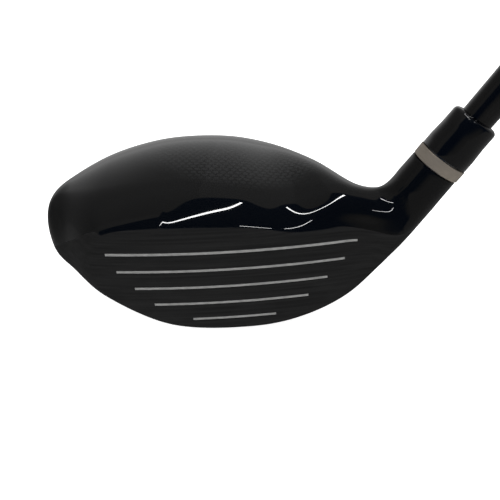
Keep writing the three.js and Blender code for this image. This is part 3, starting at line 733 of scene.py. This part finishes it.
# ---------------------------------------------------------------- operators
class BuildHead(bpy.types.Operator):
    """Head skin with its face, crown and neck, cut for the bolt, the weight and the lines"""

    bl_idname = "fairway.build_head"
    bl_label = "Head"

    def execute(self, context):
        sizes = context.scene.head_sizes
        steps = context.scene.studio_settings.skin_detail
        head = to_object(head_skin(), "head_shell")
        # Both cutters start below the sole, and the bore's ends above the hosel.
        below, under, above = -8, -3, HOSEL_TOP + 5
        bore = [
            (0, below), (RECESS_RADIUS, below), (RECESS_RADIUS, WEB_LOW),
            (BOLT_HOLE, WEB_LOW), (BOLT_HOLE, WEB_HIGH), (HOSEL_BORE, WEB_HIGH),
            (HOSEL_BORE, above), (0, above),
        ]
        port = [
            (0, under), (PORT_RADIUS, under), (PORT_RADIUS, PORT_DEPTH),
            (SCREW_HOLE, PORT_DEPTH), (SCREW_HOLE, SCREW_HOLE_DEPTH), (0, SCREW_HOLE_DEPTH),
        ]
        cutters = [
            to_object(turned(bore, steps), "bore", shaft_line()),
            to_object(turned(port, steps), "port", upright(WEIGHT_X, WEIGHT_Y)),
        ]
        depth, width = sizes.score_depth / MM, sizes.score_width / MM
        cutters += [
            to_object(score_bar(k, depth, 1.0, width + GROOVE_ROOM), f"groove_{k + 1}")
            for k in range(len(SCORE_SPANS))
        ]
        cut(head, cutters, 38)
        paint_boundary(head.data)
        finish_piece(head, head_finish(), "head", "crown_lacquer",
                     "head_body", "face_plate", "crown_shell")
        return {"FINISHED"}


class BuildScoreLines(bpy.types.Operator):
    """Paint in the five score lines of the face"""

    bl_idname = "fairway.build_score_lines"
    bl_label = "Score lines"

    def execute(self, context):
        sizes = context.scene.head_sizes
        depth, width = sizes.score_depth / MM, sizes.score_width / MM
        paint = score_finish()
        for k in range(len(SCORE_SPANS)):
            # The paint lies a little under the face, and short of its groove's ends.
            bar = to_object(score_bar(k, depth - 0.02, -0.1, width, GROOVE_ROOM / 2),
                            f"score_line_{k + 1}")
            finish_piece(bar, paint, "head", "score_paint", f"score_fill_{k + 1}")
        return {"FINISHED"}


class BuildRing(bpy.types.Operator):
    """Metal adjusting ring between the hosel and the ferrule"""

    bl_idname = "fairway.build_ring"
    bl_label = "Adjusting ring"

    def execute(self, context):
        steps = context.scene.studio_settings.skin_detail
        inner = SLEEVE_RADIUS + FIT
        bm = turned([(inner, RING_LOW), (RING_RADIUS, RING_LOW),
                     (RING_RADIUS, RING_HIGH), (inner, RING_HIGH)], steps)
        soften(bm, 0.22)
        ring = to_object(bm, "adjusting_ring", shaft_line())
        colour = tuple(context.scene.finish_colours.ring)
        metal = brushed_metal("ring_metal", colour, shaft_line(), 0.45, 0.3, 0.3, 0.55)
        finish_piece(ring, metal, "ring", "ring_metal", "adjust_ring")
        return {"FINISHED"}


class BuildFerrule(bpy.types.Operator):
    """Tapered plastic ferrule with a rounded shoulder"""

    bl_idname = "fairway.build_ferrule"
    bl_label = "Ferrule"

    def execute(self, context):
        steps = context.scene.studio_settings.skin_detail
        top = context.scene.shaft_sizes.ferrule_top / MM
        gap = 0.1
        wide, bore = SLEEVE_RADIUS + FIT, shaft_radius(FERRULE_HIGH) + gap
        outside = [
            (HOSEL_RADIUS - 0.05, FERRULE_LOW),
            (HOSEL_RADIUS - 0.1, FERRULE_LOW + 3),
            (top + FERRULE_SWELL, FERRULE_HIGH - FERRULE_SWELL_DEPTH),
            (top + FERRULE_SHOULDER, FERRULE_HIGH - FERRULE_SHOULDER_DEPTH),
        ]
        # The shoulder is a quarter ellipse from the side in to the shaft.
        reach = top + 0.2 - bore - gap
        outside += [
            (bore + gap + reach * math.cos(a),
             FERRULE_HIGH - FERRULE_RISE + FERRULE_RISE * math.sin(a))
            for a in (k * math.pi / 20 for k in range(11))
        ]
        inside = [(bore, FERRULE_HIGH), (bore, SLEEVE_TOP + FIT), (wide, SLEEVE_TOP + FIT),
                  (wide, FERRULE_LOW)]
        bm = turned(outside + inside, steps)
        soften(bm, 0.12, 2, 55)
        piece = to_object(bm, "ferrule_collar", shaft_line())
        colour = tuple(context.scene.finish_colours.ferrule)
        finish_piece(piece, gloss_plastic("ferrule_plastic", colour), "shaft_assembly",
                     "ferrule_plastic", "ferrule")
        return {"FINISHED"}


class BuildShaft(bpy.types.Operator):
    """Tapered hollow shaft"""

    bl_idname = "fairway.build_shaft"
    bl_label = "Shaft"

    def execute(self, context):
        rows, butt_wall, tip_bore = 24, 1.1, 2.4
        stations = [SHAFT_TIP + (SHAFT_END - SHAFT_TIP) * k / rows for k in range(rows + 1)]
        outside = [(shaft_radius(s), s) for s in stations]
        inside = [(shaft_radius(SHAFT_END) - butt_wall, SHAFT_END), (tip_bore, SHAFT_TIP)]
        bm = turned(outside + inside, 72)
        soften(bm, 0.2, 2, 60)
        piece = to_object(bm, "shaft_tube", shaft_line())
        finish_piece(piece, shaft_finish(), "shaft_assembly", "shaft_graphite", "shaft")
        return {"FINISHED"}


class BuildSleeve(bpy.types.Operator):
    """Splined aluminium sleeve inside the hosel"""

    bl_idname = "fairway.build_sleeve"
    bl_label = "Sleeve"

    def execute(self, context):
        steps = context.scene.studio_settings.skin_detail
        low, seat = WEB_HIGH + FIT, SHAFT_TIP - FIT
        # Under the shaft's seat the bore narrows to a cone over the bolt's thread.
        bm = turned([
            (BOLT_HOLE, low), (SLEEVE_RADIUS, low), (SLEEVE_RADIUS, SLEEVE_TOP),
            (SLEEVE_BORE, SLEEVE_TOP), (SLEEVE_BORE, seat), (1.6, seat - 1.2),
            (BOLT_HOLE, seat - 1.8),
        ], steps)
        soften(bm, 0.25)
        sleeve = to_object(bm, "splined_sleeve")
        count, slots = 12, []
        for k in range(count):
            slot = bmesh.new()
            bmesh.ops.create_cube(slot, size=1, matrix=(
                Matrix.Rotation(2 * math.pi * (k + 0.25) / count, 4, "Z")
                @ Matrix.Translation(Vector((SLEEVE_RADIUS + 0.15, 0, low + 4.5)) * MM)
                @ Matrix.Diagonal((1 * MM, 1 * MM, 6 * MM, 1))
            ))
            slots.append(to_object(slot, f"slot_{k}"))
        cut(sleeve, slots)
        sleeve.data.transform(shaft_line())
        metal = brushed_metal("sleeve_aluminium", (0.62, 0.63, 0.65), shaft_line(),
                              0.30, 0.2, 0.2)
        finish_piece(sleeve, metal, "shaft_assembly", "sleeve_aluminium", "shaft_sleeve")
        return {"FINISHED"}


def star_cutter(name, radius, low, high):
    """A six-lobed socket for a driver, round Z. In mm."""
    bm = bmesh.new()
    bmesh.ops.create_circle(bm, cap_ends=True, radius=1, segments=72)
    for v in bm.verts:
        angle = math.atan2(v.co.y, v.co.x)
        r = radius * (0.88 + 0.12 * math.cos(6 * angle)) * MM
        v.co = Vector((r * math.cos(angle), r * math.sin(angle), low * MM))
    grown = bmesh.ops.extrude_face_region(bm, geom=bm.faces[:])
    top = [v for v in grown["geom"] if isinstance(v, bmesh.types.BMVert)]
    bmesh.ops.translate(bm, verts=top, vec=(0, 0, (high - low) * MM))
    bmesh.ops.recalc_face_normals(bm, faces=bm.faces)
    return to_object(bm, name)


def thread(crest, root, pitch, start, end):
    """Profile of a thread, drawn as rings: crests a pitch apart with roots between."""
    profile = []
    while start < end:
        profile += [(crest, start), (root, start + pitch / 2)]
        start += pitch
    return profile


class BuildBolt(bpy.types.Operator):
    """Bolt and washer that hold the sleeve from under the heel"""

    bl_idname = "fairway.build_bolt"
    bl_label = "Bolt and washer"

    def execute(self, context):
        thick, wide, shank = 1.2, 3.8, 2.5
        head_top = WEB_LOW - 2 * FIT - thick
        low, tip = head_top - 3.6, head_top + 13.5
        bm = turned([(0, low), (wide, low), (wide, head_top), (shank, head_top)]
                    + thread(shank, 2.18, 0.8, head_top + 3.0, tip - 0.8)
                    + [(2.3, tip - 0.3), (1.9, tip), (0, tip)], 72)
        soften(bm, 0.18, 3, 75)
        bolt = to_object(bm, "heel_bolt")
        cut(bolt, [star_cutter("star", 2.0, low - 1, low + 2.6)])
        bolt.data.transform(shaft_line())
        steel = brushed_metal("bolt_steel", (0.34, 0.345, 0.35), shaft_line(), 0.30, 0.3, 0.3)
        finish_piece(bolt, steel, "bolt", "screw_steel", "hosel_bolt")

        high, rim = WEB_LOW - FIT, 4.3
        bm = turned([(BOLT_HOLE, high - thick), (rim, high - thick), (rim, high),
                     (BOLT_HOLE, high)], 72)
        soften(bm, 0.2)
        washer = to_object(bm, "heel_washer", shaft_line())
        metal = brushed_metal("washer_aluminium", (0.55, 0.56, 0.58), shaft_line(),
                              0.32, 0.25, 0.2)
        finish_piece(washer, metal, "bolt_washer", "sleeve_aluminium", "bolt_washer")
        return {"FINISHED"}


class BuildWeight(bpy.types.Operator):
    """Round sole weight and the screw through it"""

    bl_idname = "fairway.build_weight"
    bl_label = "Sole weight"

    def execute(self, context):
        steps = context.scene.studio_settings.skin_detail
        place = upright(WEIGHT_X, WEIGHT_Y)
        low, high, rim = WEIGHT_LOW, WEIGHT_HIGH, WEIGHT_RADIUS
        counter, step = 3.7, WEIGHT_LOW + 3.3
        groove = low + 0.35
        bm = turned([
            (counter, low), (6.3, low), (6.4, groove), (7.2, groove), (7.3, low),
            (rim, low), (rim, high), (SCREW_HOLE, high), (SCREW_HOLE, step), (counter, step),
        ], steps)
        soften(bm, 0.22, 3, 40)
        weight = to_object(bm, "sole_weight_disc", place)
        tungsten = brushed_metal("weight_tungsten", (0.26, 0.26, 0.265), place, 0.36, 0.3, 0.3)
        finish_piece(weight, tungsten, "weight", "tungsten", "sole_weight")

        low, wide, shank = SCREW_LOW, 3.4, 2.0
        neck, tip = low + 2.4, low + 9.0
        bm = turned([(0, low), (wide, low), (wide, neck), (shank, neck)]
                    + thread(shank, 1.72, 0.7, neck + 0.8, tip - 0.7)
                    + [(1.8, tip - 0.3), (1.4, tip), (0, tip)], 72)
        soften(bm, 0.2, 3, 75)
        screw = to_object(bm, "sole_weight_screw")
        cut(screw, [star_cutter("star", 1.8, low - 1, low + 1.7)])
        screw.data.transform(place)
        steel = brushed_metal("screw_steel", (0.36, 0.365, 0.37), place, 0.3, 0.3, 0.3)
        finish_piece(screw, steel, "weight_screw", "screw_steel", "weight_screw")
        return {"FINISHED"}


def grip_groove(s, angle):
    """Depth of the moulded pattern, 0 to 1: two families of slanting grooves, in bands."""
    pitch, turns = 5.2, 10
    depth = 0.0
    for way in (1, -1):
        phase = s / pitch + way * angle * turns / (2 * math.pi)
        off = abs(phase - round(phase))
        depth = max(depth, 1 - smoothstep(off, 0.06, 0.14))
    length = SHAFT_END - GRIP_LOW
    share = (s - GRIP_LOW) / length
    band = 0.0
    for start, end in ((0.05, 0.33), (0.37, 0.62), (0.66, 0.93)):
        band = max(band, smoothstep(share, start, start + 0.008)
                   * (1 - smoothstep(share, end - 0.008, end)))
    return depth * band


class BuildGrip(bpy.types.Operator):
    """Rubber grip with its moulded pattern, and the cap on its end"""

    bl_idname = "fairway.build_grip"
    bl_label = "Grip"

    def execute(self, context):
        sizes = context.scene.shaft_sizes
        butt, groove = sizes.grip_butt / MM, sizes.grip_groove / MM
        length = SHAFT_END - GRIP_LOW

        def inner(s):
            return shaft_radius(s) + 1.0

        mouth = inner(GRIP_LOW) + 1.5
        knots = ((0.0, 0.0), (0.3, 0.22), (0.6, 0.45), (0.82, 0.68), (0.95, 0.9), (1.0, 1.0))

        def outer(share):
            for (a, va), (b, vb) in zip(knots, knots[1:]):
                if share <= b:
                    f = va + (vb - va) * (share - a) / (b - a)
                    break
            return mouth + (butt - mouth) * f

        rows = 300
        side = [(outer(k / rows), GRIP_LOW + length * k / rows) for k in range(rows + 1)]
        for k, step in enumerate((0.5, 0.05)):
            side[k] = (side[k][0] - step, side[k][1])
        inside = [(inner(GRIP_LOW + length * k / 8), GRIP_LOW + length * k / 8)
                  for k in range(8, -1, -1)]
        bm = turned(side + inside, 120)
        for v in bm.verts:
            s, r = v.co.z / MM, math.hypot(v.co.x, v.co.y)
            if r / MM > inner(s) + 0.6:
                change = 1 - grip_groove(s, math.atan2(v.co.y, v.co.x)) * groove * MM / r
                v.co.x *= change
                v.co.y *= change
        rubber = rubber_finish()
        finish_piece(to_object(bm, "grip_sleeve", shaft_line(), 50), rubber,
                     "shaft_assembly", "grip_rubber", "grip")

        low = SHAFT_END + FIT
        high = low + CAP_HEIGHT
        stub = shaft_radius(SHAFT_END) - 1.4
        bm = turned([
            (1.1, low - 6), (stub, low - 6), (stub, low), (butt, low), (butt, high - 1.2),
            (butt - 0.8, high - 0.25), (butt - 2.6, high), (8.2, high), (8.0, high - 0.35),
            (7.4, high - 0.35), (7.2, high), (1.1, high),
        ], 120)
        soften(bm, 0.2, 3, 32)
        cap = to_object(bm, "grip_end_cap", shaft_line())
        finish_piece(cap, rubber, "shaft_assembly", "grip_rubber", "grip_cap")
        return {"FINISHED"}


class FinishHiddenParts(bpy.types.Operator):
    """Finishes of the parts that lie inside the head and under the grip"""

    bl_idname = "fairway.finish_hidden_parts"
    bl_label = "Hidden parts"

    def execute(self, context):
        finishes = {
            "mass_pad": cast_metal("pad_tungsten", (0.24, 0.24, 0.245)),
            "tip_plug": dull_finish("plug_plastic", (0.05, 0.048, 0.045)),
            "grip_tape": dull_finish("grip_tape_paper", (0.55, 0.5, 0.34)),
        }
        for node, material in finishes.items():
            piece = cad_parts[node]
            piece.data.materials.clear()
            piece.data.materials.append(material)
        return {"FINISHED"}


# ---------------------------------------------------------------- studio
# Brightness of the parts of the room that only the gloss sees.
ROOM = {
    "horizon": 0.42, "wall": 0.155, "wall_left": 0.13, "over_ceiling": 0.05,
    "front": 0.12, "floor": 0.16, "ceiling": (0.004, 0.022, 0.06),
}
# The ceiling's edge, by direction: where it is, and the hump in which it reaches back.
CEILING_FRONT, HUMP_X, HUMP_WIDTH, HUMP_DEPTH = 0.20, 0.15, 0.27, 0.68
# Tubes of light on the ceiling: name, ends, width and radiance.
STRIPS = (
    ("long_tube", ((-0.27, -0.49, 1.0), (0.24, 0.438, 1.0)), 0.022, 30.0),
    ("front_tube", ((0.15, -0.62, 1.0), (0.42, -0.62, 1.0)), 0.03, 24.0),
)
CAMERA_AZIMUTH = 4.203
CAMERA_ELEVATION = 36.782
CAMERA_ROLL = -1.095
CAMERA_DISTANCE = 0.156299
CAMERA_TARGET = (0.004605, -0.010, 0.015244)
CAMERA_LENS = 36.557


def aim_camera():
    data = bpy.data.cameras.new("camera")
    data.lens, data.sensor_width = CAMERA_LENS, 36
    data.clip_start, data.clip_end = 0.005, 50
    camera = bpy.data.objects.new("camera", data)
    bpy.context.scene.collection.objects.link(camera)
    az, el, roll = (math.radians(a) for a in (CAMERA_AZIMUTH, CAMERA_ELEVATION, CAMERA_ROLL))
    look = Vector((math.sin(az) * math.cos(el), math.cos(az) * math.cos(el), -math.sin(el)))
    right = Vector((math.cos(az), -math.sin(az), 0))
    up = right.cross(look)
    across = right * math.cos(roll) + up * math.sin(roll)
    above = up * math.cos(roll) - right * math.sin(roll)
    turn = Matrix((across, above, -look)).transposed().to_4x4()
    stand = Vector(CAMERA_TARGET) - look * CAMERA_DISTANCE
    camera.matrix_world = Matrix.Translation(stand) @ turn
    bpy.context.scene.camera = camera


def strip_light(name, ends, width, radiance):
    """A straight tube of light between two points of the ceiling."""
    start, end = (Vector(p) for p in ends)
    length = (end - start).length
    data = bpy.data.lights.new(name, "AREA")
    data.shape, data.size, data.size_y = "RECTANGLE", length, width
    data.energy = radiance * math.pi * length * width
    light = bpy.data.objects.new(name, data)
    along = (end - start).normalized()
    down = ((start + end) / 2).normalized()
    turn = Matrix((along, down.cross(along).normalized(), down)).transposed()
    light.matrix_world = Matrix.Translation((start + end) / 2) @ turn.to_4x4()
    light.visible_camera = False
    bpy.context.scene.collection.objects.link(light)


def studio_world(strength):
    world = bpy.data.worlds.new("studio")
    world.use_nodes = True
    background = world.node_tree.nodes["Background"]
    background.inputs["Color"].default_value = (1, 1, 1, 1)
    background.inputs["Strength"].default_value = strength
    bpy.context.scene.world = world


def wall_light(recipe, x, y, z):
    """The wall behind, brightest at the horizon, with a faint light over the ceiling."""
    low = recipe.math("POWER", recipe.ramp(z, 0.0, 0.45, 1.0, 0.0), 1.3)
    behind = recipe.ramp(y, 0.45, 0.95, smooth=True)
    low = recipe.math("MULTIPLY", recipe.math("MULTIPLY", low, behind), ROOM["horizon"])
    across = recipe.math("DIVIDE", x, y)
    panel = recipe.ramp(across, 0.045, 0.055, ROOM["wall_left"], ROOM["wall"])
    high = recipe.ramp(z, 0.55, 0.85, 0.0, ROOM["over_ceiling"], smooth=True)
    return recipe.math("ADD", recipe.math("ADD", panel, high), low)


def ceiling_share(recipe, x, y):
    """1 on the dark ceiling, which reaches back over the club in a rounded hump."""
    hump = recipe.math("ADD", recipe.away(x, HUMP_X, HUMP_WIDTH, 4.0), 1.0)
    hump = recipe.math("DIVIDE", HUMP_DEPTH, hump)
    edge = recipe.math("SUBTRACT", recipe.math("ADD", y, CEILING_FRONT), hump)
    # It ends before the toe's side.
    toe_side = recipe.math("MULTIPLY", recipe.ramp(x, -0.85, -0.72, 2.0, 0.0),
                           recipe.ramp(y, -0.35, -0.2))
    return recipe.ramp(recipe.math("ADD", edge, toe_side), -0.006, 0.006, 1.0, 0.0)


def reflected_room():
    """What the gloss sees: a pale wall behind the club, a dark ceiling, a dim front."""
    bm = bmesh.new()
    bmesh.ops.create_uvsphere(bm, u_segments=64, v_segments=32, radius=5)
    room = to_object(bm, "reflected_room")
    recipe = Recipe("room_light")
    recipe.nodes.remove(recipe.shader)
    lamp = recipe.nodes.new("ShaderNodeEmission")
    output = next(n for n in recipe.nodes if n.type == "OUTPUT_MATERIAL")
    recipe.links.new(lamp.outputs[0], output.inputs["Surface"])
    x, y, z = recipe.split(recipe.place(scale=(0.2, 0.2, 0.2)))

    glow = recipe.math("MULTIPLY", recipe.ramp(y, -0.95, -0.75, 1.0, 0.0, smooth=True),
                       recipe.ramp(z, 0.05, 0.45, 1.0, 0.0, smooth=True))
    dark = recipe.mix(glow, ROOM["ceiling"], (ROOM["front"],) * 3)
    wall = recipe.grey(wall_light(recipe, x, y, z))
    light = recipe.mix(ceiling_share(recipe, x, y), wall, dark)
    glare = recipe.ramp(y, 0.74, 0.95, ROOM["floor"], ROOM["horizon"], smooth=True)
    under = recipe.ramp(z, -0.02, 0.02, 1.0, 0.0)
    recipe.feed(recipe.mix(under, light, recipe.grey(glare)), lamp, "Color")
    room.data.materials.append(recipe.material)
    only_in_gloss(room)


def only_in_gloss(piece):
    piece.visible_camera = False
    piece.visible_diffuse = False
    piece.visible_transmission = False
    piece.visible_shadow = False


def pale_floor():
    bm = bmesh.new()
    bmesh.ops.create_grid(bm, x_segments=1, y_segments=1, size=6)
    floor = to_object(bm, "floor")
    recipe = Recipe("floor_paper", Roughness=0.9)
    recipe.shader.inputs["Emission Color"].default_value = (1, 1, 1, 1)
    recipe.shader.inputs["Emission Strength"].default_value = 0.85
    tooth = recipe.noise(recipe.place(), 60.0, 4.0)
    recipe.set(Base_Color=recipe.mix(tooth, (0.80, 0.80, 0.80), (0.84, 0.84, 0.84)))
    floor.data.materials.append(recipe.material)
    floor.location.z = -0.0006
    floor.visible_glossy = False


class BuildStage(bpy.types.Operator):
    """Pale floor, soft studio light and the camera"""

    bl_idname = "fairway.build_stage"
    bl_label = "Stage"

    def execute(self, context):
        context.scene.view_settings.view_transform = "Standard"
        context.scene.view_settings.look = "None"
        studio_world(context.scene.studio_settings.sky)
        pale_floor()
        reflected_room()
        for name, ends, width, radiance in STRIPS:
            strip_light(name, ends, width, radiance)
        aim_camera()
        return {"FINISHED"}


class FairwayPanel(bpy.types.Panel):
    """Lists the builders of the club's pieces"""

    bl_idname = "VIEW3D_PT_fairway"
    bl_label = "Fairway Wood"
    bl_space_type = "VIEW_3D"
    bl_region_type = "UI"
    bl_category = "Fairway Wood"

    def draw(self, context):
        layout = self.layout
        for builder in BUILDERS:
            layout.operator(builder.bl_idname)
        for name in SETTINGS:
            group = getattr(context.scene, name)
            box = layout.box()
            for prop in group.__annotations__:
                box.prop(group, prop)


BUILDERS = (
    BuildHead, BuildScoreLines, BuildRing, BuildFerrule, BuildShaft, BuildSleeve,
    BuildBolt, BuildWeight, BuildGrip, FinishHiddenParts, BuildStage,
)
SETTINGS = {
    "head_sizes": HeadSizes,
    "shaft_sizes": ShaftSizes,
    "finish_colours": FinishColours,
    "studio_settings": StudioSettings,
}


def register():
    for group in SETTINGS.values():
        bpy.utils.register_class(group)
    for name, group in SETTINGS.items():
        setattr(bpy.types.Scene, name, PointerProperty(type=group))
    for builder in BUILDERS:
        bpy.utils.register_class(builder)
    bpy.utils.register_class(FairwayPanel)


def unregister():
    bpy.utils.unregister_class(FairwayPanel)
    for builder in reversed(BUILDERS):
        bpy.utils.unregister_class(builder)
    for name, group in reversed(SETTINGS.items()):
        delattr(bpy.types.Scene, name)
        bpy.utils.unregister_class(group)


def main():
    register()
    for builder in BUILDERS:
        category, action = builder.bl_idname.split(".")
        getattr(getattr(bpy.ops, category), action)()


if __name__ == "__main__":
    main()
